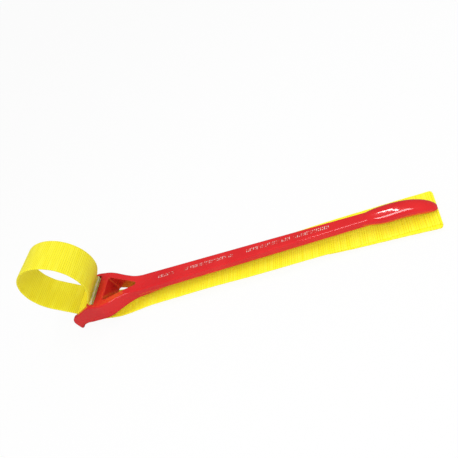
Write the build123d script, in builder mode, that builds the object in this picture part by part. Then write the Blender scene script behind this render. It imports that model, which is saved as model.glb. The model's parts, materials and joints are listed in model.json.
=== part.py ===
"""Strap wrench, 24 inch class: a cast handle with a webbing strap that loops round a pipe.

Millimetres.  The origin is the centre of the pipe held in the loop, +X runs along the
handle towards the grip, +Y is the axis of the pipe and +Z points away from the handle.
"""
from build123d import *
from math import asin, atan2, cos, degrees, hypot, radians, sin
import os

os.makedirs("parts", exist_ok=True)

# ---------------------------------------------------------------- driving dimensions
pipe_radius = 54.0
strap_width = 57.2
strap_thickness = 2.8
half_strap = strap_width / 2

# head of the casting
head_half_width = 36.0
throat_half_width = 29.5
head_front_x = -24.7
head_crest_z = -54.2
head_floor_z = -90.0
cheek_sole_z = -91.5
horn_tip_z = -99.4
nose_crest_x = 13.5
nose_crest_z = -61.4
nose_crest_width = 10.3
nose_toe_x = 8.0
nose_toe_z = -82.4
bay_front_x = 17.3
bay_rear_x = 36.5
bay_floor_z = -86.2
window_rear_x = 50.5
window_tip_x = 114.5
window_half_width = 24.0
block_end_x = 127.0
block_end_z = -84.0
block_end_half = 15.6
gusset_end_x = 156.0
gusset_half = 14.8
gusset_lap = 8.0
gusset_root_z = -84.4
gusset_knee_z = -83.7
gusset_run_out = 0.6

# profiles of the head: side view as (x, z), plan view as (x, half width)
crest_profile = (
    (-5.5, -66.4),
    (6.5, -61.6),
    (17, -57.2),
    (27, head_crest_z),
    (38, -55.9),
    (54, -58.7),
    (70, -60.5),
    (86, -62.2),
    (102, -64.8),
)
belly_profile = ((96, -86.2), (62, -88.8), (32, cheek_sole_z))
hollow_profile = ((-1, -90.9), (-11, -93.8), (-18.4, horn_tip_z))
tip_profile = ((-21.6, -100.0), (-23.8, -97.0))
front_profile = ((head_front_x, -88), (-23.9, -79.6), (-18.6, -72.2))
shoulder_profile = ((60, 32.6), (72, 27.7), (84, 22.6), (97, 18.2))
crest_end_x = 125.0
sole_end_x = 10.0
side_end_x = 42.0

# reach of the tools that cut through the head
cut_above_z = -40.0
cut_below_z = -120.0
cut_front_x = -60.0
way_end_x = 66.5
cut_margin = 1.0

nose_rounding = 1.5
bay_rounding = 3.5
outer_rounding = 2.5
window_rounding = 3.5

# strap pin
pin_x = 25.8
pin_z = -77.4
pin_radius = 5.0
pin_running_gap = 0.06
eye_inner_radius = pin_radius + pin_running_gap
eye_join = 14.0
pin_blind_y = -33.5
pin_open_y = 35.4
pin_chamfer = 0.8

# inside of the sewn eye, where its two sides come together
eye_pinch = 2.0
eye_slit_half = 0.1

# grip: x, height of the middle, half width, half depth of each oval section
grip_sections = (
    (474.0, -73.0, 7.4, 5.0),
    (486.0, -73.2, 10.0, 7.6),
    (500.0, -73.6, 12.5, 9.8),
    (524.0, -73.9, 13.0, 10.4),
    (542.0, -75.6, 12.1, 9.8),
    (554.0, -78.8, 11.0, 8.9),
    (563.0, -82.2, 9.4, 7.2),
    (569.5, -85.2, 6.9, 4.6),
    (572.8, -86.9, 3.2, 2.3),
)

# stitching of the sewn tab
thread_width = 0.9
stitch_length = 3.6
stitch_pitch = 5.2
stitches_per_row = 11
stitch_row_pitch = 3.6
stitch_rows = 3

# raised marks cast on the top of the beam
mark_height = 0.5
mark_pitch = 5.6
mark_bar_length = 5.4
mark_bar_width = 1.2
mark_stud_radius = 0.8
mark_stud_y = 1.9
mark_groups = ((154.0, 6), (203.0, 16), (311.0, 13), (385.0, 10))

# beam between the head and the grip
beam_top_z = -67.0
flange_depth = 12.0
beam_start_x = 112.0
beam_end_x = 500.0
beam_start_half = 15.9
beam_end_half = 7.6
flange_draft = 0.8
web_half = 3.5
rib_deep_x = 150.0
rib_deep_z = -87.6
rib_end_x = 498.0
rib_end_z = -81.4
rib_lap = 2.0

# strap path
entry_x = -8.7
entry_z = -68.4
tab_angle = 80.8
sewn_tab_length = 24.4
tab_bend_radius = 8.0
strap_gap = 0.5
tail_start_x = 62.0
tail_end_x = 573.3
tail_start_z = -97.7
tail_end_z = -92.4
flap_length = 146.0
flap_gap = 0.4
turn_radius = 14.0

# ---------------------------------------------------------------- derived strap geometry
mid_radius = pipe_radius + strap_thickness / 2


def tangent_direction(point_x, point_z, radius, side):
    """Angle in degrees, in the XZ plane, from a point to its tangent on the loop circle."""
    reach = hypot(point_x, point_z)
    to_centre = degrees(atan2(-point_z, -point_x))
    return to_centre + side * degrees(asin(radius / reach))


entry_angle = tangent_direction(entry_x, entry_z, mid_radius, 1)
tab_plane = Plane(
    origin=(pin_x, 0, pin_z),
    x_dir=(cos(radians(tab_angle)), 0, sin(radians(tab_angle))),
    z_dir=(0, -1, 0),
)
tab_normal = (-sin(radians(tab_angle)), cos(radians(tab_angle)))
loop_start = (
    pin_x + sewn_tab_length * cos(radians(tab_angle)) + strap_thickness / 2 * tab_normal[0],
    pin_z + sewn_tab_length * sin(radians(tab_angle)) + strap_thickness / 2 * tab_normal[1],
)

# above the tab the strap bends once, then runs on a tangent of both the bend and the loop
bend_centre = (
    loop_start[0] - tab_bend_radius * tab_normal[0],
    loop_start[1] - tab_bend_radius * tab_normal[1],
)
bend_bearing = degrees(atan2(bend_centre[1], bend_centre[0]))
rise_angle = bend_bearing + 180 - degrees(asin((mid_radius + tab_bend_radius) / hypot(*bend_centre)))
arc_start = rise_angle - 90
arc_end = entry_angle + 90
tail_slope = (tail_end_z - tail_start_z) / (tail_end_x - tail_start_x)
strand_slope = sin(radians(entry_angle)) / cos(radians(entry_angle))
fold_radius = (strap_thickness + flap_gap) / 2
tail_length = hypot(tail_end_x - tail_start_x, tail_end_z - tail_start_z) - fold_radius - strap_thickness / 2
tail_plane = Plane(origin=(tail_start_x, 0, tail_start_z), x_dir=(1, 0, tail_slope), z_dir=(0, -1, 0))

# corner where the line of the incoming strand meets the line of the tail
corner_x = (tail_start_z - tail_slope * tail_start_x - entry_z + strand_slope * entry_x) / (
    strand_slope - tail_slope
)
corner_z = tail_start_z + tail_slope * (corner_x - tail_start_x)

# ---------------------------------------------------------------- handle casting
# head block: side outline crossed with plan outline
with BuildPart() as head_block:
    with BuildSketch(Plane.XZ) as head_side:
        with BuildLine():
            crest = Spline(
                *crest_profile,
                (crest_end_x, beam_top_z),
                tangents=[(1, 0.4), (1, 0)],
                tangent_scalars=[1, 1],
            )
            top = Line(crest @ 1, (block_end_x, beam_top_z))
            rear = Line(top @ 1, (block_end_x, block_end_z))
            belly = Spline(
                rear @ 1,
                *belly_profile,
                tangents=[(-1, -0.12), (-1, 0)],
            )
            sole = Line(belly @ 1, (sole_end_x, cheek_sole_z))
            hollow = Spline(
                sole @ 1,
                *hollow_profile,
                tangents=[(-1, 0.05), (-0.6, -1)],
            )
            tip = ThreePointArc(hollow @ 1, *tip_profile)
            front = Spline(
                tip @ 1,
                *front_profile,
                crest @ 0,
                tangents=[(-0.1, 1), (1, 0.4)],
            )
        make_face()
    extrude(amount=head_half_width, both=True)
    with BuildSketch(Plane.XY.offset(cut_below_z)) as head_plan:
        with BuildLine():
            front_edge = Line((cut_front_x, 0), (cut_front_x, head_half_width))
            side_edge = Line(front_edge @ 1, (side_end_x, head_half_width))
            shoulder = Spline(
                side_edge @ 1,
                *shoulder_profile,
                (block_end_x, block_end_half),
                tangents=[(1, 0), (1, -0.02)],
            )
            end_edge = Line(shoulder @ 1, (block_end_x, 0))
            mirror(about=Plane.XZ)
        make_face()
    extrude(amount=cut_above_z - cut_below_z, mode=Mode.INTERSECT)
    outline_edges = head_block.edges().filter_by(lambda edge: abs(edge.center().Y) > block_end_half / 2)
    fillet(outline_edges.filter_by(Axis.Z, reverse=True), radius=outer_rounding)

# tapered flange of the beam, and the rib under it
with BuildPart() as beam:
    for section_x, half_width in (
        (beam_start_x, beam_start_half),
        (beam_end_x, beam_end_half),
    ):
        with BuildSketch(Plane.YZ.offset(section_x)):
            with BuildLine():
                Polyline(
                    (-half_width, beam_top_z),
                    (half_width, beam_top_z),
                    (half_width + flange_draft, beam_top_z - flange_depth),
                    (-half_width - flange_draft, beam_top_z - flange_depth),
                    close=True,
                )
            make_face()
    loft(ruled=True)
    long_edges = beam.edges().filter_by(lambda edge: edge.length > (beam_end_x - beam_start_x) / 2)
    fillet(long_edges, radius=outer_rounding)
    with BuildSketch(Plane.XZ) as rib_side:
        with BuildLine():
            Polyline(
                (beam_start_x, beam_top_z - flange_depth + rib_lap),
                (beam_start_x, block_end_z),
                (rib_deep_x, rib_deep_z),
                (rib_end_x, rib_end_z),
                (rib_end_x, beam_top_z - flange_depth + rib_lap),
                close=True,
            )
        make_face()
    extrude(amount=web_half, both=True)

# solid root under the flange, running out into the underside of the beam
with BuildPart() as root_gusset:
    with BuildSketch(Plane.XZ) as gusset_side:
        with BuildLine():
            Polyline(
                (block_end_x - gusset_lap, beam_top_z - flange_depth + rib_lap),
                (block_end_x - gusset_lap, gusset_root_z),
                (block_end_x, gusset_knee_z),
                (gusset_end_x, beam_top_z - flange_depth - gusset_run_out),
                (gusset_end_x, beam_top_z - flange_depth + rib_lap),
                close=True,
            )
        make_face()
    extrude(amount=gusset_half, both=True)

# swelling grip that droops at its end
with BuildPart() as grip:
    for section_x, middle_z, half_width, half_depth in grip_sections:
        with BuildSketch(Plane(origin=(section_x, 0, middle_z), x_dir=(0, 1, 0), z_dir=(1, 0, 0))):
            Ellipse(half_width, half_depth)
    loft()

with BuildPart() as handle_casting:
    add(head_block.part)
    add(beam.part)
    add(root_gusset.part)
    add(grip.part)

    # way through the head for the free strand, in front of the nose and under it
    with BuildSketch(Plane.XZ) as strand_way:
        with BuildLine():
            clearance = strap_thickness / 2 + strap_gap
            face_x = entry_x + clearance * sin(radians(entry_angle))
            face_z = entry_z - clearance * cos(radians(entry_angle))
            floor_turn_x = face_x + (head_floor_z - face_z) / strand_slope
            FilletPolyline(
                (bay_rear_x, cut_above_z),
                (bay_rear_x, nose_crest_z),
                (nose_crest_x, nose_crest_z),
                (nose_toe_x, nose_toe_z),
                (floor_turn_x, head_floor_z),
                (way_end_x, head_floor_z),
                radius=nose_rounding,
            )
            Polyline(
                (way_end_x, head_floor_z),
                (way_end_x, cut_below_z),
                (cut_front_x, cut_below_z),
                (cut_front_x, cut_above_z),
                (bay_rear_x, cut_above_z),
            )
        make_face()
    extrude(amount=throat_half_width, both=True, mode=Mode.SUBTRACT)

    # bay round the pin, open at the top
    with BuildSketch(Plane.XZ) as pin_bay:
        with BuildLine():
            bay_lip_x = nose_crest_x + nose_crest_width
            FilletPolyline(
                (bay_lip_x, cut_above_z),
                (bay_lip_x, nose_crest_z),
                (bay_front_x, pin_z),
                (bay_front_x, bay_floor_z),
                (bay_rear_x, bay_floor_z),
                (bay_rear_x, cut_above_z),
                radius=bay_rounding,
            )
            Line((bay_rear_x, cut_above_z), (bay_lip_x, cut_above_z))
        make_face()
    extrude(amount=throat_half_width, both=True, mode=Mode.SUBTRACT)

    # three-cornered window behind the crossbar
    with BuildSketch(Plane.XY.offset(cut_below_z)) as window:
        with BuildLine():
            Polyline(
                (window_rear_x, -window_half_width),
                (window_rear_x, window_half_width),
                (window_tip_x, 0),
                close=True,
            )
        make_face()
        fillet(window.vertices(), radius=window_rounding)
    extrude(amount=cut_above_z - cut_below_z, mode=Mode.SUBTRACT)

    # bore for the pin: open in the +Y cheek, blind in the -Y cheek
    with BuildSketch(Plane.XZ.offset(-head_half_width - cut_margin)) as pin_bore:
        with Locations((pin_x, pin_z)):
            Circle(pin_radius)
    extrude(amount=head_half_width + cut_margin - pin_blind_y, mode=Mode.SUBTRACT)

    # raised marks: plain bars and studs
    for group_x, count in mark_groups:
        with BuildSketch(Plane.XY.offset(beam_top_z)) as bars:
            with Locations((group_x + mark_pitch * (count - 1) / 2, 0)):
                with GridLocations(mark_pitch, 0, count, 1):
                    SlotOverall(mark_bar_length, mark_bar_width, rotation=90)
                with GridLocations(mark_pitch, 2 * mark_stud_y, count - 1, 2):
                    Circle(mark_stud_radius)
        extrude(amount=mark_height)
handle_casting.part.label = "handle_casting"
export_step(handle_casting.part, "parts/handle_casting.step")

# ---------------------------------------------------------------- strap pin
with BuildPart() as strap_pin:
    with BuildSketch(Plane.XZ.offset(-pin_open_y)) as pin_end:
        with Locations((pin_x, pin_z)):
            Circle(pin_radius)
    extrude(amount=pin_open_y - pin_blind_y)
    chamfer(strap_pin.edges().filter_by(GeomType.CIRCLE), length=pin_chamfer)
strap_pin.part.label = "strap_pin"
export_step(strap_pin.part, "parts/strap_pin.step")

# ---------------------------------------------------------------- sewn eye round the pin
with BuildPart() as strap_eye:
    with BuildSketch(tab_plane) as eye_outline:
        with BuildLine() as outer_teardrop:
            CenterArc((0, 0), eye_inner_radius + strap_thickness, 0, 360)
            Line((eye_join, -strap_thickness), (eye_join, strap_thickness))
        make_hull(outer_teardrop.edges())
        with BuildLine() as inner_teardrop:
            CenterArc((0, 0), eye_inner_radius, 0, 360)
            Line((eye_join - eye_pinch, -eye_slit_half), (eye_join - eye_pinch, eye_slit_half))
        make_hull(inner_teardrop.edges(), mode=Mode.SUBTRACT)
        with Locations(((eye_join + sewn_tab_length) / 2, 0)):
            Rectangle(sewn_tab_length - eye_join, 2 * strap_thickness)
    extrude(amount=half_strap, both=True)
strap_eye.part.label = "strap_eye"
export_step(strap_eye.part, "parts/strap_eye.step")

# ---------------------------------------------------------------- stitching through the tab
with BuildPart() as eye_stitching:
    for face_side in (1, -1):
        face_normal = tab_plane.y_dir * face_side
        face_centre = (
            tab_plane.origin
            + tab_plane.x_dir * (eye_join + sewn_tab_length) / 2
            + face_normal * strap_thickness
        )
        with BuildSketch(Plane(origin=face_centre, x_dir=(0, 1, 0), z_dir=face_normal)):
            with GridLocations(stitch_pitch, stitch_row_pitch, stitches_per_row, stitch_rows):
                SlotOverall(stitch_length, thread_width)
        extrude(amount=thread_width / 2)
eye_stitching.part.label = "eye_stitching"
export_step(eye_stitching.part, "parts/eye_stitching.step")

# ---------------------------------------------------------------- loop round the pipe
with BuildPart() as strap_loop:
    with BuildSketch(Plane.XZ) as loop_band:
        with BuildLine():
            tab_bend = CenterArc(bend_centre, tab_bend_radius, tab_angle + 90, rise_angle - tab_angle)
            sweep_arc = CenterArc((0, 0), mid_radius, arc_start, arc_end - arc_start)
            Line(tab_bend @ 1, sweep_arc @ 0)
            Line(sweep_arc @ 1, (entry_x, entry_z))
        trace(line_width=strap_thickness)
    extrude(amount=half_strap, both=True)
strap_loop.part.label = "strap_loop"
export_step(strap_loop.part, "parts/strap_loop.step")

# ---------------------------------------------------------------- strap inside the head
with BuildPart() as strap_throat:
    with BuildSketch(Plane.XZ) as throat_band:
        with BuildLine():
            FilletPolyline(
                (entry_x, entry_z),
                (corner_x, corner_z),
                (tail_start_x, tail_start_z),
                radius=turn_radius,
            )
        trace(line_width=strap_thickness)
    extrude(amount=half_strap, both=True)
strap_throat.part.label = "strap_throat"
export_step(strap_throat.part, "parts/strap_throat.step")

# ---------------------------------------------------------------- tail and its folded end
with BuildPart() as strap_tail:
    with BuildSketch(tail_plane) as tail_band:
        with BuildLine():
            Line((0, 0), (tail_length, 0))
        trace(line_width=strap_thickness)
    extrude(amount=half_strap, both=True)
strap_tail.part.label = "strap_tail"
export_step(strap_tail.part, "parts/strap_tail.step")

with BuildPart() as strap_fold:
    with BuildSketch(tail_plane) as fold_band:
        with BuildLine():
            CenterArc((tail_length, -fold_radius), fold_radius, 90, -180)
        trace(line_width=strap_thickness)
    extrude(amount=half_strap, both=True)
strap_fold.part.label = "strap_fold"
export_step(strap_fold.part, "parts/strap_fold.step")

with BuildPart() as strap_flap:
    with BuildSketch(tail_plane) as flap_band:
        with BuildLine():
            Line((tail_length, -2 * fold_radius), (tail_length - flap_length, -2 * fold_radius))
        trace(line_width=strap_thickness)
    extrude(amount=half_strap, both=True)
strap_flap.part.label = "strap_flap"
export_step(strap_flap.part, "parts/strap_flap.step")
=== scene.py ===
"""Strap wrench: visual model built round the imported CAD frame.

Metres, in the row frame: origin at the centre of the pipe, +X along the handle, +Y along
the pipe and +Z away from the handle.
"""
import json
import math
import random

import bpy
from mathutils import Matrix, Vector


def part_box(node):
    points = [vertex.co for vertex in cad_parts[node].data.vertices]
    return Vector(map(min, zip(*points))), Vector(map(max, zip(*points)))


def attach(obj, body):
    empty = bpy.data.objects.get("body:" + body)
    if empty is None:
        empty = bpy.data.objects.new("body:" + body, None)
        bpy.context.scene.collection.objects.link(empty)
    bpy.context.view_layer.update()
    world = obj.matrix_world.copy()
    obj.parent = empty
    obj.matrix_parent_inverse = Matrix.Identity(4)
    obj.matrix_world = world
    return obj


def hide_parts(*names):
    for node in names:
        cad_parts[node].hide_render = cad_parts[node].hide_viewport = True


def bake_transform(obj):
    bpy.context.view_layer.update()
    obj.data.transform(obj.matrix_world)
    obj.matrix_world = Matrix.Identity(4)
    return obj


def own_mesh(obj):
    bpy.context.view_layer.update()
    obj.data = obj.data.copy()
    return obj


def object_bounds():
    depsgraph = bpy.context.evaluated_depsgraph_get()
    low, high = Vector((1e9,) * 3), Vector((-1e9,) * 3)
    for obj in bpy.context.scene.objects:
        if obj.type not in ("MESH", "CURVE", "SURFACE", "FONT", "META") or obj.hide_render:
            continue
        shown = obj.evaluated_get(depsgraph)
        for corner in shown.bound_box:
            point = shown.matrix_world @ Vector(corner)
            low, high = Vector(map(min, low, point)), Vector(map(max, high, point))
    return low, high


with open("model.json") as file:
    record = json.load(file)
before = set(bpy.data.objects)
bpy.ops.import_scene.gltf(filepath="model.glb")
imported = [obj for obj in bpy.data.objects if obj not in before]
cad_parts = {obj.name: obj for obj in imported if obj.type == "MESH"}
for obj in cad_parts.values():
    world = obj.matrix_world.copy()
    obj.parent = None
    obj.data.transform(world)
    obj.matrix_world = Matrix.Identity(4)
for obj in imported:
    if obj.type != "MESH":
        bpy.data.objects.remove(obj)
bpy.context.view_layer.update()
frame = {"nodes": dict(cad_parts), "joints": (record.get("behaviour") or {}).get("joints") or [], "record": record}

nodes = frame["nodes"]
record = frame["record"]
joints = {joint["name"]: joint for joint in frame["joints"]}

# ------------------------------------------------------------------ measures from the frame
clamp = record["mounts"][0]
PIPE_RADIUS = clamp["dims"]["r_mm"] / 1000
loop_low, loop_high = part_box("strap_loop")
eye_low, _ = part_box("strap_eye")
stitch_low, stitch_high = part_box("eye_stitching")
throat_low, throat_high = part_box("strap_throat")
tail_low, tail_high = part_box("strap_tail")
fold_low, fold_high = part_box("strap_fold")
flap_low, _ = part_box("strap_flap")
HALF_WIDTH = (loop_high.y - loop_low.y) / 2
THICKNESS = loop_high.x - PIPE_RADIUS
MID_RADIUS = PIPE_RADIUS + THICKNESS / 2
PIN = joints["loop_swing"]["pos_m"][0], joints["loop_swing"]["pos_m"][2]
FOLD = joints["flap_fold"]["pos_m"][0], joints["flap_fold"]["pos_m"][2]
FEED = joints["strap_feed"]["axis"][0], joints["strap_feed"]["axis"][2]
FOLD_RADIUS = ((fold_high.z - fold_low.z) - THICKNESS) / 2
EYE_JOIN = 0.014
EYE_RADIUS = PIN[0] - eye_low.x - THICKNESS / 2
TURN_RADIUS = 0.014
TAB_BEND_RADIUS = 0.008
RIB_PITCH = 0.0031
RIB_HEIGHT = 0.00026
STEPS_PER_RIB = 6
ENTRY_GUESS, ENTRY_ROUNDS = 0.35, 4
PATH_STEP = 0.0004
ARC_STEPS_MIN = 12


def rotated(vector, turn_degrees):
    """A direction in XZ turned from +X towards +Z."""
    angle = math.radians(turn_degrees)
    return (
        vector[0] * math.cos(angle) - vector[1] * math.sin(angle),
        vector[0] * math.sin(angle) + vector[1] * math.cos(angle),
    )


def along(point, direction, distance):
    """The point at a distance from another, in a direction."""
    return point[0] + direction[0] * distance, point[1] + direction[1] * distance


def unit(vector):
    length = math.hypot(*vector)
    return vector[0] / length, vector[1] / length


def tangent_from(point, radius):
    """Direction from a point to its tangent on the loop circle."""
    half_angle = math.degrees(math.asin(radius / math.hypot(*point)))
    return rotated(unit((-point[0], -point[1])), half_angle)


# the stitching is centred on the tab, half way between the join at the eye and the cut end
stitch_centre = (stitch_low.x + stitch_high.x) / 2, (stitch_low.z + stitch_high.z) / 2
tab_direction = unit((stitch_centre[0] - PIN[0], stitch_centre[1] - PIN[1]))
tab_normal = (-tab_direction[1], tab_direction[0])
TAB_LENGTH = 2 * math.dist(stitch_centre, PIN) - EYE_JOIN


def tab_point(distance, offset):
    """A point in XZ, given by its distance from the pin along the tab and off its middle."""
    return (
        PIN[0] + tab_direction[0] * distance + tab_normal[0] * offset,
        PIN[1] + tab_direction[1] * distance + tab_normal[1] * offset,
    )


# where the free strand enters the head: the end face of the throat section
entry = (throat_low.x + THICKNESS * ENTRY_GUESS, throat_high.z - THICKNESS * ENTRY_GUESS)
for _ in range(ENTRY_ROUNDS):
    strand_direction = tangent_from(entry, MID_RADIUS)
    entry = (
        throat_low.x + THICKNESS / 2 * strand_direction[1],
        throat_high.z + THICKNESS / 2 * strand_direction[0],
    )


# ------------------------------------------------------------------ paths in the XZ plane
def line(start, end):
    """A straight path as a dense row of points."""
    count = max(2, int(math.dist(start, end) / PATH_STEP))
    return [
        (start[0] + (end[0] - start[0]) * i / count, start[1] + (end[1] - start[1]) * i / count)
        for i in range(count + 1)
    ]


def arc(centre, radius, start_degrees, end_degrees):
    """A round path as a dense row of points."""
    length = abs(math.radians(end_degrees - start_degrees)) * radius
    count = max(ARC_STEPS_MIN, int(length / PATH_STEP))
    points = []
    for i in range(count + 1):
        angle = math.radians(start_degrees + (end_degrees - start_degrees) * i / count)
        points.append((centre[0] + radius * math.cos(angle), centre[1] + radius * math.sin(angle)))
    return points


def joined(*stretches):
    """Paths run together, each starting where the last one ends."""
    points = list(stretches[0])
    for stretch in stretches[1:]:
        points += stretch[1:]
    return points


def resampled(points, spacing):
    """The path cut into equal steps, with the distance run at each step."""
    distances = [0.0]
    for a, b in zip(points, points[1:]):
        distances.append(distances[-1] + math.dist(a, b))
    count = max(2, round(distances[-1] / spacing))
    step = distances[-1] / count
    found, index = [], 0
    for i in range(count + 1):
        target = min(i * step, distances[-1])
        while index < len(distances) - 2 and distances[index + 1] < target:
            index += 1
        a, b = points[index], points[index + 1]
        share = (target - distances[index]) / max(1e-12, distances[index + 1] - distances[index])
        found.append((a[0] + (b[0] - a[0]) * share, a[1] + (b[1] - a[1]) * share, target))
    return found


def smoothed(points, rounds):
    """Softens the corners of a dense path and keeps its two ends."""
    for _ in range(rounds):
        points = (
            [points[0]]
            + [
                ((a[0] + 2 * b[0] + c[0]) / 4, (a[1] + 2 * b[1] + c[1]) / 4)
                for a, b, c in zip(points, points[1:], points[2:])
            ]
            + [points[-1]]
        )
    return points


# loop: up from the tab, round the pipe and down to the head
loop_start = tab_point(TAB_LENGTH, THICKNESS / 2)
tab_degrees = math.degrees(math.atan2(tab_direction[1], tab_direction[0]))
strand_degrees = math.degrees(math.atan2(strand_direction[1], strand_direction[0]))
bend_centre = along(loop_start, tab_normal, -TAB_BEND_RADIUS)
bend_bearing = math.degrees(math.atan2(bend_centre[1], bend_centre[0]))
bend_lift = math.degrees(math.asin((MID_RADIUS + TAB_BEND_RADIUS) / math.hypot(*bend_centre)))
rise_degrees = bend_bearing + 180 - bend_lift
tab_bend = arc(bend_centre, TAB_BEND_RADIUS, tab_degrees + 90, rise_degrees + 90)
round_pipe = arc((0, 0), MID_RADIUS, rise_degrees - 90, strand_degrees + 90)
loop_path = joined(tab_bend, line(tab_bend[-1], round_pipe[0]), round_pipe, line(round_pipe[-1], entry))

# throat: on from the entry, bending round onto the line of the tail
tail_end = along(FOLD, (-FEED[1], FEED[0]), FOLD_RADIUS)
tail_start = along(tail_end, FEED, -(tail_end[0] - tail_low.x) / FEED[0])
into_head = (-strand_direction[0], -strand_direction[1])
cross = into_head[0] * FEED[1] - into_head[1] * FEED[0]
run = ((tail_start[0] - entry[0]) * FEED[1] - (tail_start[1] - entry[1]) * FEED[0]) / cross
corner = along(entry, into_head, run)
turn = math.atan2(FEED[1], FEED[0]) - math.atan2(into_head[1], into_head[0])
setback = TURN_RADIUS * math.tan(turn / 2)
turn_centre = along(along(corner, into_head, -setback), (-into_head[1], into_head[0]), TURN_RADIUS)
turn_start = math.degrees(math.atan2(into_head[1], into_head[0])) - 90
throat_bend = arc(turn_centre, TURN_RADIUS, turn_start, turn_start + math.degrees(turn))
throat_path = joined(line(entry, throat_bend[0]), throat_bend, line(throat_bend[-1], tail_start))

# tail, fold and flap
TAIL_SPLIT_SHARE = 0.8
SPLIT_X = tail_low.x + TAIL_SPLIT_SHARE * (tail_high.x - tail_low.x)
tail_split = along(tail_start, FEED, (SPLIT_X - tail_start[0]) / FEED[0])
flap_start = along(FOLD, (-FEED[1], FEED[0]), -FOLD_RADIUS)
flap_end = along(flap_start, FEED, -(flap_start[0] - flap_low.x) / FEED[0])
feed_degrees = math.degrees(math.atan2(FEED[1], FEED[0]))
fold_path = arc(FOLD, FOLD_RADIUS, 90 + feed_degrees, feed_degrees - 90)

# eye: down the front layer, round the pin and back up the rear layer
EYE_SMOOTHING = 12
eye_tangent = math.degrees(
    math.atan2(THICKNESS / 2, EYE_JOIN)
    + math.acos(EYE_RADIUS / math.hypot(EYE_JOIN, THICKNESS / 2))
)
eye_local = joined(
    line((TAB_LENGTH, THICKNESS / 2), (EYE_JOIN, THICKNESS / 2)),
    line((EYE_JOIN, THICKNESS / 2), arc((0, 0), EYE_RADIUS, eye_tangent, 180)[0]),
    arc((0, 0), EYE_RADIUS, eye_tangent, 360 - eye_tangent),
    line(arc((0, 0), EYE_RADIUS, 0, -eye_tangent)[-1], (EYE_JOIN, -THICKNESS / 2)),
    line((EYE_JOIN, -THICKNESS / 2), (TAB_LENGTH, -THICKNESS / 2)),
)
eye_path = [tab_point(*point) for point in smoothed(eye_local, EYE_SMOOTHING)]

# ------------------------------------------------------------------ webbing
EDGE_STEPS = 5
FACE_STEPS = 14
EDGE_SHARE = 0.0016 / HALF_WIDTH
RIB_SHARPNESS = 0.7
EDGE_INSET = 0.0001
EDGE_WAVE, EDGE_WAVE_RATE = 0.00008, 310
EDGE_BULGE = 0.00006


def across_positions():
    """Places across the webbing from -1 to 1, close together at its two rounded edges."""
    low = [
        -1 + EDGE_SHARE * (1 - math.cos(math.pi / 2 * i / EDGE_STEPS)) for i in range(EDGE_STEPS)
    ]
    middle = [
        -1 + EDGE_SHARE + (2 - 2 * EDGE_SHARE) * i / FACE_STEPS for i in range(FACE_STEPS + 1)
    ]
    return low + middle + [-value for value in reversed(low)]


def edge_profile(across):
    """Share of the full thickness at a place across the webbing."""
    inside = (1 - abs(across)) / EDGE_SHARE
    if inside >= 1:
        return 1.0
    return math.sqrt(max(0.0, 1 - (1 - inside) ** 2))


def eased(value):
    """Smooth step from 0 to 1."""
    value = max(0.0, min(1.0, value))
    return value * value * (3 - 2 * value)


# how far the slack strap hangs below or above its straight line, metres, by place along X
SLACK = (
    (0.018, 0.0),
    (0.052, -0.0050),
    (0.074, -0.0046),
    (0.100, -0.0014),
    (0.124, 0.0014),
    (0.180, 0.0032),
    (0.235, 0.0046),
    (0.300, 0.0040),
    (0.400, 0.0028),
    (0.465, 0.0012),
    (0.530, 0.0008),
    (0.558, 0.0002),
    (0.573, 0.0),
)
DRIFT_START, DRIFT_STOP = 0.29, 0.47
TAIL_DRIFT = 0.005
TORN_DEPTH, TORN_ROWS = 0.0015, 8
FLAP_SKEW = 0.0046
SKEW_RUN = 1.25
STRAP_TWIST = math.tan(math.radians(3.5))


def slack(x):
    """Height of the hanging strap over its straight line, a smooth curve through SLACK."""
    if x <= SLACK[0][0]:
        return 0.0
    for index in range(len(SLACK) - 1):
        (x0, z0), (x1, z1) = SLACK[index], SLACK[index + 1]
        if x <= x1:
            before = SLACK[max(0, index - 1)]
            after = SLACK[min(len(SLACK) - 1, index + 2)]
            slope0 = 0.0 if index == 0 else (z1 - before[1]) / (x1 - before[0])
            slope1 = (after[1] - z0) / (after[0] - x0)
            t, span = (x - x0) / (x1 - x0), x1 - x0
            return (
                (2 * t**3 - 3 * t**2 + 1) * z0
                + (t**3 - 2 * t**2 + t) * span * slope0
                + (3 * t**2 - 2 * t**3) * z1
                + (t**3 - t**2) * span * slope1
            )
    return 0.0


def tail_drape(x, y):
    """Sideways drift and twist of the tail: how far a point at x, y moves in Y and Z."""
    share = eased((x - DRIFT_START) / (DRIFT_STOP - DRIFT_START))
    return TAIL_DRIFT * share, STRAP_TWIST * share * y


def flap_drape(x, y):
    """The flap folds back slightly askew: it shows past the near edge by the fold only."""
    _, lift = tail_drape(x, y)
    run_back = (FOLD[0] - x) / (FOLD[0] - flap_low.x)
    return TAIL_DRIFT - FLAP_SKEW * (1 - SKEW_RUN * run_back), lift


def hung(path):
    """A path of the straight strap, let down onto the curve of the slack one."""
    return [(x, z + slack(x)) for x, z in path]


# waves along the torn end: share, radians per metre, phase
TORN_WAVES = ((0.5, 410, 0), (0.3, 1130, 1), (0.2, 1870, 2))


def ragged(y):
    """How far the torn end stands out at a place across the webbing, between -1 and 1."""
    return sum(share * math.sin(y * rate + phase) for share, rate, phase in TORN_WAVES)


def placed(name, data):
    """A new object in the scene, for a mesh, a lamp or a camera."""
    piece = bpy.data.objects.new(name, data)
    bpy.context.scene.collection.objects.link(piece)
    bpy.context.view_layer.update()
    return piece


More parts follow.
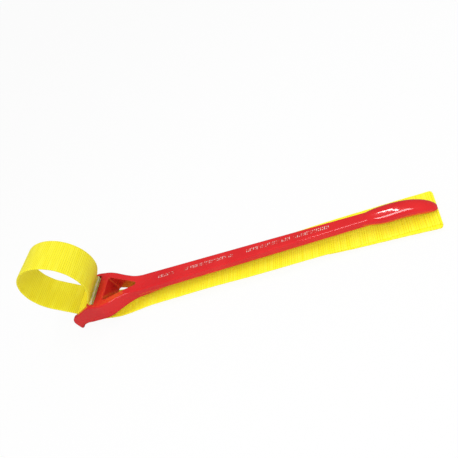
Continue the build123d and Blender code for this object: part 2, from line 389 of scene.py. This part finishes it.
def webbing(name, path, run_start, width_at=None, drape=None, creased=False, torn=False):
    """A closed woven band along a path in XZ; run_start carries the ribs on from the last band."""
    samples = resampled(path, RIB_PITCH / STEPS_PER_RIB)
    places = across_positions()
    count = len(places)
    ring = 2 * count - 2
    vertices, uvs = [], []
    for index, (x, z, run_) in enumerate(samples):
        before = samples[max(0, index - 1)]
        after = samples[min(len(samples) - 1, index + 1)]
        tangent = unit((after[0] - before[0], after[1] - before[1]))
        normal = (-tangent[1], tangent[0])
        distance = run_start + run_
        rib = abs(math.sin(math.pi * distance / RIB_PITCH)) ** RIB_SHARPNESS
        half = THICKNESS / 2 - RIB_HEIGHT + RIB_HEIGHT * rib
        ripple = EDGE_WAVE * math.sin(distance * EDGE_WAVE_RATE)
        width = HALF_WIDTH - EDGE_INSET + ripple + EDGE_BULGE * rib
        if width_at:
            width = width_at(x, width)
        for side, order in ((1, range(count)), (-1, range(count - 2, 0, -1))):
            for i in order:
                place = places[i]
                lift = side * half * edge_profile(place)
                y = place * width
                drift, twist = drape(x, y) if drape else (0.0, 0.0)
                if creased:
                    drift -= FLAP_SKEW * index / (len(samples) - 1)
                pull = ragged(y) * TORN_DEPTH * max(0.0, 1 - index / TORN_ROWS) if torn else 0.0
                vertices.append(
                    (
                        x + normal[0] * lift + tangent[0] * pull,
                        y + drift,
                        z + normal[1] * lift + tangent[1] * pull + twist,
                    )
                )
                uvs.append((distance, place * HALF_WIDTH))
    faces = []
    for row in range(len(samples) - 1):
        for i in range(ring):
            j = (i + 1) % ring
            faces.append((row * ring + i, row * ring + j, (row + 1) * ring + j, (row + 1) * ring + i))
    for base, flip in ((0, False), ((len(samples) - 1) * ring, True)):
        for i in range(count - 1):
            top_a, top_b = base + i, base + i + 1
            low_a = base + (ring - i) % ring
            low_b = base + ring - i - 1
            face = [top_a, top_b, low_b, low_a]
            if i == 0:
                face = [top_a, top_b, low_b]
            if i == count - 2:
                face = [top_a, top_b, low_a]
            faces.append(tuple(reversed(face)) if not flip else tuple(face))
    mesh = bpy.data.meshes.new(name)
    mesh.from_pydata(vertices, [], faces)
    layer = mesh.uv_layers.new(name="strap")
    for loop in mesh.loops:
        layer.data[loop.index].uv = uvs[loop.vertex_index]
    for polygon in mesh.polygons:
        polygon.use_smooth = True
    mesh.validate()
    return placed(name, mesh), run_start + samples[-1][2]


FOLD_CORNER = 0.0045
CORNER_REACH = 0.97
fold_tip = fold_high.x


def rounded_end(x, width):
    """Takes in the width at the folded end, so that its corners are rounded."""
    reach = x - (fold_tip - FOLD_CORNER)
    if reach <= 0:
        return width
    reach = min(reach, FOLD_CORNER * CORNER_REACH)
    return width - (FOLD_CORNER - math.sqrt(FOLD_CORNER**2 - reach**2))


eye, run_length = webbing("webbing_eye", list(reversed(eye_path)), 0.0, torn=True)
loop, run_length = webbing("webbing_loop", loop_path, run_length)
throat, run_length = webbing("webbing_throat", hung(throat_path), run_length)
tail_near, run_length = webbing(
    "webbing_tail", hung(line(tail_start, tail_split)), run_length, drape=tail_drape
)
tail_far, run_length = webbing(
    "webbing_tail_end", hung(line(tail_split, tail_end)), run_length, rounded_end, tail_drape
)
fold, run_length = webbing(
    "webbing_fold", fold_path, run_length, rounded_end, tail_drape, creased=True
)
flap, run_length = webbing(
    "webbing_flap", hung(line(flap_start, flap_end)), run_length, rounded_end, flap_drape
)


# ------------------------------------------------------------------ materials
def new_material(name):
    """A material with a fresh principled shader, its tree and that shader."""
    material = bpy.data.materials.new(name)
    material.use_nodes = True
    tree = material.node_tree
    tree.nodes.clear()
    output = tree.nodes.new("ShaderNodeOutputMaterial")
    shader = tree.nodes.new("ShaderNodeBsdfPrincipled")
    tree.links.new(shader.outputs["BSDF"], output.inputs["Surface"])
    return material, tree, shader


def node(tree, kind, inputs=None, **settings):
    """A node with its settings made and its inputs linked or set."""
    made = tree.nodes.new(kind)
    for key, value in settings.items():
        setattr(made, key, value)
    for key, value in (inputs or {}).items():
        if isinstance(value, bpy.types.NodeSocket):
            tree.links.new(value, made.inputs[key])
        else:
            made.inputs[key].default_value = value
    return made


def math_node(tree, operation, *values):
    return node(tree, "ShaderNodeMath", dict(enumerate(values)), operation=operation).outputs[0]


def mix_colour(tree, factor, first, second, blend="MIX"):
    made = node(tree, "ShaderNodeMix", data_type="RGBA", blend_type=blend)
    for socket, value in ((made.inputs[0], factor), (made.inputs[6], first), (made.inputs[7], second)):
        if isinstance(value, bpy.types.NodeSocket):
            tree.links.new(value, socket)
        else:
            socket.default_value = value
    return made.outputs[2]


def ramp(tree, value, low, high, to_low=0.0, to_high=1.0):
    """Maps low..high onto to_low..to_high and holds it there."""
    limits = {"From Min": low, "From Max": high, "To Min": to_low, "To Max": to_high}
    made = node(tree, "ShaderNodeMapRange", {"Value": value, **limits}, clamp=True)
    return made.outputs["Result"]


def noise(tree, place, scale, detail, **more):
    settings = {"Vector": place, "Scale": scale, "Detail": detail, **more}
    return node(tree, "ShaderNodeTexNoise", settings).outputs["Fac"]


def stretched_noise(tree, place, scale, detail):
    """Noise drawn out differently along each axis."""
    space = node(tree, "ShaderNodeMapping", {"Vector": place, "Scale": scale}).outputs[0]
    return noise(tree, space, 1.0, detail)


def wave(tree, value, pitch, shift=0.0):
    """A row of round humps, one per pitch."""
    phase = math_node(tree, "MULTIPLY_ADD", value, math.pi / pitch, shift)
    return math_node(tree, "ABSOLUTE", math_node(tree, "SINE", phase))


def weighted_sum(tree, *terms):
    """Sum of (value, weight) pairs."""
    total = 0.0
    for value, weight in terms:
        total = math_node(tree, "MULTIPLY_ADD", value, weight, total)
    return total


def connect(tree, shader, colour, rough, normal):
    """Links the three main inputs of a shader, or sets the ones that are numbers."""
    for key, value in (("Base Color", colour), ("Roughness", rough), ("Normal", normal)):
        if isinstance(value, bpy.types.NodeSocket):
            tree.links.new(value, shader.inputs[key])
        else:
            shader.inputs[key].default_value = value


WARP_PITCH = 0.00158
CUT_END_START, CUT_END_STOP, CUT_END_RAGGED = 0.0024, 0.0012, 0.0018


def webbing_material(name, crown, valley, glow, pale_end=False):
    """Woven webbing: ribs across, warp bundles along, fine yarn and faint streaks, with painted shade in the
    weave's valleys and a painted glow.
    """
    material, tree, shader = new_material(name)
    uv = node(tree, "ShaderNodeUVMap", uv_map="strap").outputs["UV"]
    parts = node(tree, "ShaderNodeSeparateXYZ", {0: uv})
    run_, across = parts.outputs[0], parts.outputs[1]
    rib = wave(tree, run_, RIB_PITCH)
    warp = wave(tree, across, WARP_PITCH)
    # neighbouring warp bundles dive at opposite ribs
    bundle = math_node(tree, "FLOOR", math_node(tree, "MULTIPLY_ADD", across, 1 / WARP_PITCH, 200.0))
    parity = math_node(tree, "MODULO", bundle, 2.0)
    dive = wave(tree, run_, RIB_PITCH, math_node(tree, "MULTIPLY", parity, math.pi / 2))
    yarn = stretched_noise(tree, uv, (900.0, 7000.0, 1.0), 2.0)
    broad = stretched_noise(tree, uv, (38.0, 70.0, 1.0), 3.0)
    streak = stretched_noise(tree, uv, (640.0, 14.0, 1.0), 1.0)
    height = weighted_sum(tree, (rib, 0.35), (dive, 0.4), (warp, 0.35), (yarn, 0.25))
    # painted shade: darker yellow in the weave's low valleys than on its crowns
    colour = mix_colour(tree, ramp(tree, height, 0.42, 0.98), valley, crown)
    pale = (min(1.0, crown[0] * 1.02), min(1.0, crown[1] * 1.08), crown[2] + 0.07, 1.0)
    deep = (crown[0] * 0.86, crown[1] * 0.80, crown[2] * 0.6, 1.0)
    faded = mix_colour(tree, 0.55, colour, pale)
    colour = mix_colour(tree, ramp(tree, streak, 0.45, 0.75), colour, faded)
    colour = mix_colour(tree, ramp(tree, broad, 0.45, 0.8, to_high=0.35), colour, deep)
    if pale_end:
        reached = math_node(tree, "MULTIPLY_ADD", yarn, CUT_END_RAGGED, run_)
        end_mask = ramp(tree, reached, CUT_END_START, CUT_END_STOP)
        colour = mix_colour(tree, end_mask, colour, (0.80, 0.74, 0.50, 1.0))
    bump = node(tree, "ShaderNodeBump", {"Height": height, "Strength": 0.8, "Distance": 0.00036})
    connect(tree, shader, colour, ramp(tree, yarn, 0.0, 1.0, 0.52, 0.78), bump.outputs[0])
    # painted light: the bright webbing glows a little; on the low strap the glow stands in for light off the floor
    tree.links.new(colour, shader.inputs["Emission Color"])
    shader.inputs["Emission Strength"].default_value = glow
    shader.inputs["Sheen Weight"].default_value = 0.15
    shader.inputs["Sheen Roughness"].default_value = 0.45
    shader.inputs["Sheen Tint"].default_value = (1.0, 0.95, 0.55, 1.0)
    shader.inputs["Specular IOR Level"].default_value = 0.35
    return material


def mark_top_glints(tree, place):
    """Mask of the painted glints, in patches, on the tops of the raised marks on the beam."""
    axes = node(tree, "ShaderNodeSeparateXYZ", {0: place})
    raised = ramp(tree, axes.outputs[2], beam_top + 0.00028, beam_top + 0.00042)
    past_head = math_node(tree, "GREATER_THAN", axes.outputs[0], mark_start)
    before_grip = math_node(tree, "LESS_THAN", axes.outputs[0], mark_stop)
    glint_patches = ramp(tree, noise(tree, place, 190.0, 1.0), 0.46, 0.60)
    for mask in (past_head, before_grip, glint_patches):
        raised = math_node(tree, "MULTIPLY", raised, mask)
    return raised


def enamel_material():
    """Glossy red enamel over a sand casting, with painted glints on the tops of the raised marks."""
    material, tree, shader = new_material("red_enamel")
    place = node(tree, "ShaderNodeTexCoord").outputs["Object"]
    cast = noise(tree, place, 420.0, 3.0, Roughness=0.55)
    peel = noise(tree, place, 110.0, 2.0)
    tone = noise(tree, place, 16.0, 3.0)
    grit = node(tree, "ShaderNodeTexVoronoi", {"Vector": place, "Scale": 900.0}).outputs["Distance"]
    red = (0.76, 0.016, 0.022, 1.0)
    deep_red = (0.60, 0.008, 0.012, 1.0)
    warm_red = (0.82, 0.026, 0.022, 1.0)
    colour = mix_colour(tree, ramp(tree, tone, 0.3, 0.7), deep_red, warm_red)
    colour = mix_colour(tree, 0.55, red, colour)
    colour = mix_colour(tree, ramp(tree, cast, 0.55, 0.8, to_high=0.25), colour, deep_red)
    # recesses: painted shade, dull and brown where little light gets in
    open_ = node(tree, "ShaderNodeAmbientOcclusion", {"Distance": 0.035}, samples=6).outputs["AO"]
    recess = ramp(tree, open_, 0.80, 0.30, to_high=0.75)
    colour = mix_colour(tree, recess, colour, (0.30, 0.022, 0.014, 1.0))
    # edges: painted highlight, paler where the rounded normal leaves the flat one
    soft = node(tree, "ShaderNodeBevel", {"Radius": 0.0012}, samples=6).outputs[0]
    flat = node(tree, "ShaderNodeNewGeometry").outputs["Normal"]
    agree = node(tree, "ShaderNodeVectorMath", {0: soft, 1: flat}, operation="DOT_PRODUCT")
    edge_highlight = ramp(tree, agree.outputs["Value"], 0.995, 0.86, to_high=0.55)
    edge_highlight = math_node(tree, "MULTIPLY", edge_highlight, ramp(tree, cast, 0.42, 0.62))
    colour = mix_colour(tree, edge_highlight, colour, (0.94, 0.22, 0.15, 1.0))
    # painted highlight: pale glints on the tops of the raised marks
    colour = mix_colour(tree, mark_top_glints(tree, place), colour, (0.92, 0.62, 0.58, 1.0))
    height = weighted_sum(tree, (peel, 0.7), (cast, 0.3), (grit, 0.05))
    bump = node(
        tree,
        "ShaderNodeBump",
        {"Height": height, "Strength": 0.35, "Distance": 0.0006, "Normal": soft},
    )
    connect(tree, shader, colour, ramp(tree, tone, 0.0, 1.0, 0.20, 0.36), bump.outputs[0])
    tree.links.new(ramp(tree, open_, 0.55, 0.92, to_low=0.15), shader.inputs["Coat Weight"])
    shader.inputs["Coat IOR"].default_value = 1.75
    shader.inputs["Coat Roughness"].default_value = 0.06
    shader.inputs["Specular IOR Level"].default_value = 0.2
    return material


def steel_material():
    """Turned steel: fine lines round the pin and a few dull stains."""
    material, tree, shader = new_material("pin_steel")
    place = node(tree, "ShaderNodeTexCoord").outputs["Object"]
    lines = stretched_noise(tree, place, (60.0, 5000.0, 60.0), 2.0)
    stain = ramp(tree, noise(tree, place, 260.0, 4.0), 0.35, 0.7)
    colour = mix_colour(tree, stain, (0.46, 0.45, 0.43, 1.0), (0.30, 0.27, 0.24, 1.0))
    bump = node(tree, "ShaderNodeBump", {"Height": lines, "Strength": 0.3, "Distance": 0.0001})
    connect(tree, shader, colour, ramp(tree, lines, 0.0, 1.0, 0.25, 0.5), bump.outputs[0])
    shader.inputs["Metallic"].default_value = 1.0
    return material


def fibre_material():
    """Pale loose ends of the yarn, in two mingled tints."""
    material, tree, shader = new_material("loose_fibre")
    place = node(tree, "ShaderNodeTexCoord").outputs["Object"]
    tint = ramp(tree, noise(tree, place, 900.0, 2.0), 0.35, 0.65)
    colour = mix_colour(tree, tint, (0.86, 0.76, 0.36, 1.0), (0.93, 0.88, 0.70, 1.0))
    tree.links.new(colour, shader.inputs["Base Color"])
    shader.inputs["Roughness"].default_value = 0.9
    shader.inputs["Specular IOR Level"].default_value = 0.1
    return material


def thread_material():
    """Twisted cream thread with a little fuzz."""
    material, tree, shader = new_material("thread")
    place = node(tree, "ShaderNodeTexCoord").outputs["Object"]
    twist_space = node(
        tree,
        "ShaderNodeMapping",
        {"Vector": place, "Rotation": (0.6, 0.0, 0.6), "Scale": (1500.0, 4200.0, 1500.0)},
    )
    twist = node(
        tree,
        "ShaderNodeTexWave",
        {"Vector": twist_space.outputs[0], "Scale": 0.35, "Distortion": 0.6},
    ).outputs["Fac"]
    fuzz = math_node(tree, "MULTIPLY", noise(tree, place, 2600.0, 2.0), 0.3)
    colour = mix_colour(tree, twist, (0.62, 0.56, 0.36, 1.0), (0.88, 0.86, 0.72, 1.0))
    colour = mix_colour(tree, fuzz, colour, (0.95, 0.93, 0.84, 1.0))
    bump = node(tree, "ShaderNodeBump", {"Height": twist, "Strength": 0.6, "Distance": 0.0002})
    connect(tree, shader, colour, 0.75, bump.outputs[0])
    shader.inputs["Sheen Weight"].default_value = 0.3
    return material


# level of the beam's flat top, and the stretch of it that carries the raised marks
beam_top = -0.067
mark_start = 0.150
mark_stop = 0.445
# painted light: emission on the webbing, faint on the loop and cut end, stronger on the low strap to lift its
# shade
LOOP_PAINTED_GLOW, LOW_STRAP_PAINTED_GLOW = 0.03, 0.22
yellow = (0.96, 0.88, 0.010, 1.0)
yellow_shade = (0.58, 0.46, 0.003, 1.0)
webbing_yellow = webbing_material("webbing_yellow", yellow, yellow_shade, LOOP_PAINTED_GLOW)
webbing_low_painted_glow = webbing_material("webbing_low_painted_glow", yellow, yellow_shade, LOW_STRAP_PAINTED_GLOW)
webbing_cut = webbing_material("webbing_cut_end", yellow, yellow_shade, LOOP_PAINTED_GLOW, pale_end=True)
enamel = enamel_material()
steel = steel_material()
thread = thread_material()
fibre = fibre_material()


def paint(piece, material):
    piece.data.materials.clear()
    piece.data.materials.append(material)


paint(nodes["handle_casting"], enamel)
paint(nodes["strap_pin"], steel)
paint(nodes["eye_stitching"], thread)
paint(eye, webbing_cut)
paint(loop, webbing_yellow)
for piece in (throat, tail_near, tail_far, fold, flap):
    paint(piece, webbing_low_painted_glow)

# ------------------------------------------------------------------ frayed cut end
random.seed(24)
FIBRE_COUNT = 300
FIBRE_STEPS, FIBRE_SIDES = 4, 3
FIBRE_LENGTHS = (0.0004, 0.0016)
FIBRE_TUFT = 0.0022
FIBRE_RADII = (0.00010, 0.00022)
FIBRE_ROOT = 0.0006
FIBRE_TAPER = 0.6
FRAY_WIDTH_SHARE, FRAY_DEPTH_SHARE = 0.97, 0.42
LEANS, SWAYS = (-0.9, 0.5), (-0.6, 0.6)


def fray(name, fibres):
    """Short loose fibres standing out of the cut end of the tab."""
    vertices, faces = [], []
    for _ in range(fibres):
        y = random.uniform(-FRAY_WIDTH_SHARE, FRAY_WIDTH_SHARE) * HALF_WIDTH
        depth = random.uniform(-FRAY_DEPTH_SHARE, FRAY_DEPTH_SHARE) * THICKNESS
        offset = -THICKNESS / 2 + depth
        length = random.uniform(*FIBRE_LENGTHS) + FIBRE_TUFT * max(0.0, ragged(y))
        lean = random.uniform(*LEANS)
        sway = random.uniform(*SWAYS)
        radius = random.uniform(*FIBRE_RADII)
        base = len(vertices)
        for step in range(FIBRE_STEPS + 1):
            share = step / FIBRE_STEPS
            curl = length * share * share
            stand = TAB_LENGTH - FIBRE_ROOT + length * share
            px, pz = tab_point(stand, offset + lean * curl)
            py = y + sway * curl
            size = radius * (1 - FIBRE_TAPER * share)
            for side in range(FIBRE_SIDES):
                angle = 2 * math.pi * side / FIBRE_SIDES
                place = (px + size * math.cos(angle), py + size * math.sin(angle), pz)
                vertices.append(place)
        for step in range(FIBRE_STEPS):
            for side in range(FIBRE_SIDES):
                a = base + step * FIBRE_SIDES + side
                b = base + step * FIBRE_SIDES + (side + 1) % FIBRE_SIDES
                faces.append((a, b, b + FIBRE_SIDES, a + FIBRE_SIDES))
        tip = base + FIBRE_STEPS * FIBRE_SIDES
        faces.append((base + 2, base + 1, base))
        faces.append((tip, tip + 1, tip + 2))
    mesh = bpy.data.meshes.new(name)
    mesh.from_pydata(vertices, [], faces)
    return placed(name, mesh)


frayed = fray("webbing_fray", FIBRE_COUNT)
paint(frayed, fibre)

# ------------------------------------------------------------------ how the pieces ride
for piece, stood_for in (
    (eye, "strap_eye"),
    (loop, "strap_loop"),
    (throat, "strap_throat"),
    (tail_near, "strap_tail"),
    (tail_far, "strap_tail"),
    (fold, "strap_fold"),
    (flap, "strap_flap"),
):
    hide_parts(stood_for)

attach(eye, "strap_loop")
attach(frayed, "strap_loop")
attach(loop, "strap_loop")
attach(tail_far, "strap_tail")
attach(flap, "strap_flap")


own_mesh(loop)
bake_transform(throat)
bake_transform(tail_near)
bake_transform(fold)

# ------------------------------------------------------------------ floor, light and camera
FLOOR_REACH = 40.0
FLOOR_FLAT_SHARE = 0.93
FLOOR_DULL = (0.93, 0.93, 0.93, 1.0)
FLOOR_IN_GLOSS = (0.16, 0.16, 0.16, 1.0)
FLOOR_WHITE = (0.99, 0.99, 0.99, 1.0)
SKY_STRENGTH, SKY_SEEN_EXTRA, SKY_GLOSS_CUT = 0.68, 0.31, -0.60

low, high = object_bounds()
middle = (low + high) / 2
floor_mesh = bpy.data.meshes.new("floor")
floor_corners = [
    (side_x * FLOOR_REACH, side_y * FLOOR_REACH, low.z)
    for side_x, side_y in ((-1, -1), (1, -1), (1, 1), (-1, 1))
]
floor_mesh.from_pydata(floor_corners, [], [(0, 1, 2, 3)])
floor = placed("floor", floor_mesh)

# the floor looks evenly white to the camera and dim in the enamel's reflections
material, tree, shader = new_material("floor")
seen = node(tree, "ShaderNodeLightPath")
pale = mix_colour(tree, seen.outputs["Is Glossy Ray"], FLOOR_DULL, FLOOR_IN_GLOSS)
tree.links.new(pale, shader.inputs["Base Color"])
shader.inputs["Roughness"].default_value = 0.9
shader.inputs["Specular IOR Level"].default_value = 0.0
glow = node(tree, "ShaderNodeEmission", {"Color": FLOOR_WHITE, "Strength": 1.0})
flat_share = math_node(tree, "MULTIPLY", seen.outputs["Is Camera Ray"], FLOOR_FLAT_SHARE)
blended = node(tree, "ShaderNodeMixShader", {0: flat_share, 1: shader.outputs[0], 2: glow.outputs[0]})
tree.links.new(blended.outputs[0], tree.nodes["Material Output"].inputs["Surface"])
paint(floor, material)

world = bpy.data.worlds.new("studio")
bpy.context.scene.world = world
world.use_nodes = True
sky = world.node_tree
ray = node(sky, "ShaderNodeLightPath")
dim = math_node(sky, "MULTIPLY", ray.outputs["Is Glossy Ray"], SKY_GLOSS_CUT)
lit = math_node(sky, "MULTIPLY_ADD", ray.outputs["Is Camera Ray"], SKY_SEEN_EXTRA, SKY_STRENGTH)
sky.links.new(math_node(sky, "ADD", dim, lit), sky.nodes["Background"].inputs["Strength"])
sky.nodes["Background"].inputs["Color"].default_value = (1.0, 1.0, 1.0, 1.0)


def area_light(name, offset, size, power):
    """A rectangular softbox that stands off from the middle of the wrench and aims at it."""
    data = bpy.data.lights.new(name, "AREA")
    data.shape = "RECTANGLE"
    data.size, data.size_y = size
    data.energy = power
    lamp = placed(name, data)
    lamp.location = middle + Vector(offset)
    lamp.rotation_mode = "QUATERNION"
    lamp.rotation_quaternion = (-Vector(offset)).to_track_quat("-Z", "Y")


area_light("key", (0.35, -0.95, 1.15), (1.2, 0.45), 8.5)
area_light("top", (0.22, 0.06, 1.4), (1.1, 0.10), 5.5)

SENSOR_WIDTH = 36.0
LENS = 36.4716
CAMERA_PLACE = (0.5590, -0.4402, 0.3906)
CAMERA_RIGHT = (0.879, 0.064, -0.472)
CAMERA_BACK = (0.385, -0.679, 0.625)

camera_data = bpy.data.cameras.new("camera")
camera_data.sensor_width = SENSOR_WIDTH
camera_data.lens = LENS
camera_data.clip_start, camera_data.clip_end = 0.01, 200
camera = placed("camera", camera_data)
back = Vector(CAMERA_BACK).normalized()
up = back.cross(Vector(CAMERA_RIGHT)).normalized()
right = up.cross(back).normalized()
camera.rotation_mode = "QUATERNION"
camera.rotation_quaternion = Matrix((right, up, back)).transposed().to_quaternion()
camera.location = CAMERA_PLACE
bpy.context.scene.camera = camera
bpy.context.scene.view_settings.view_transform = "Standard"
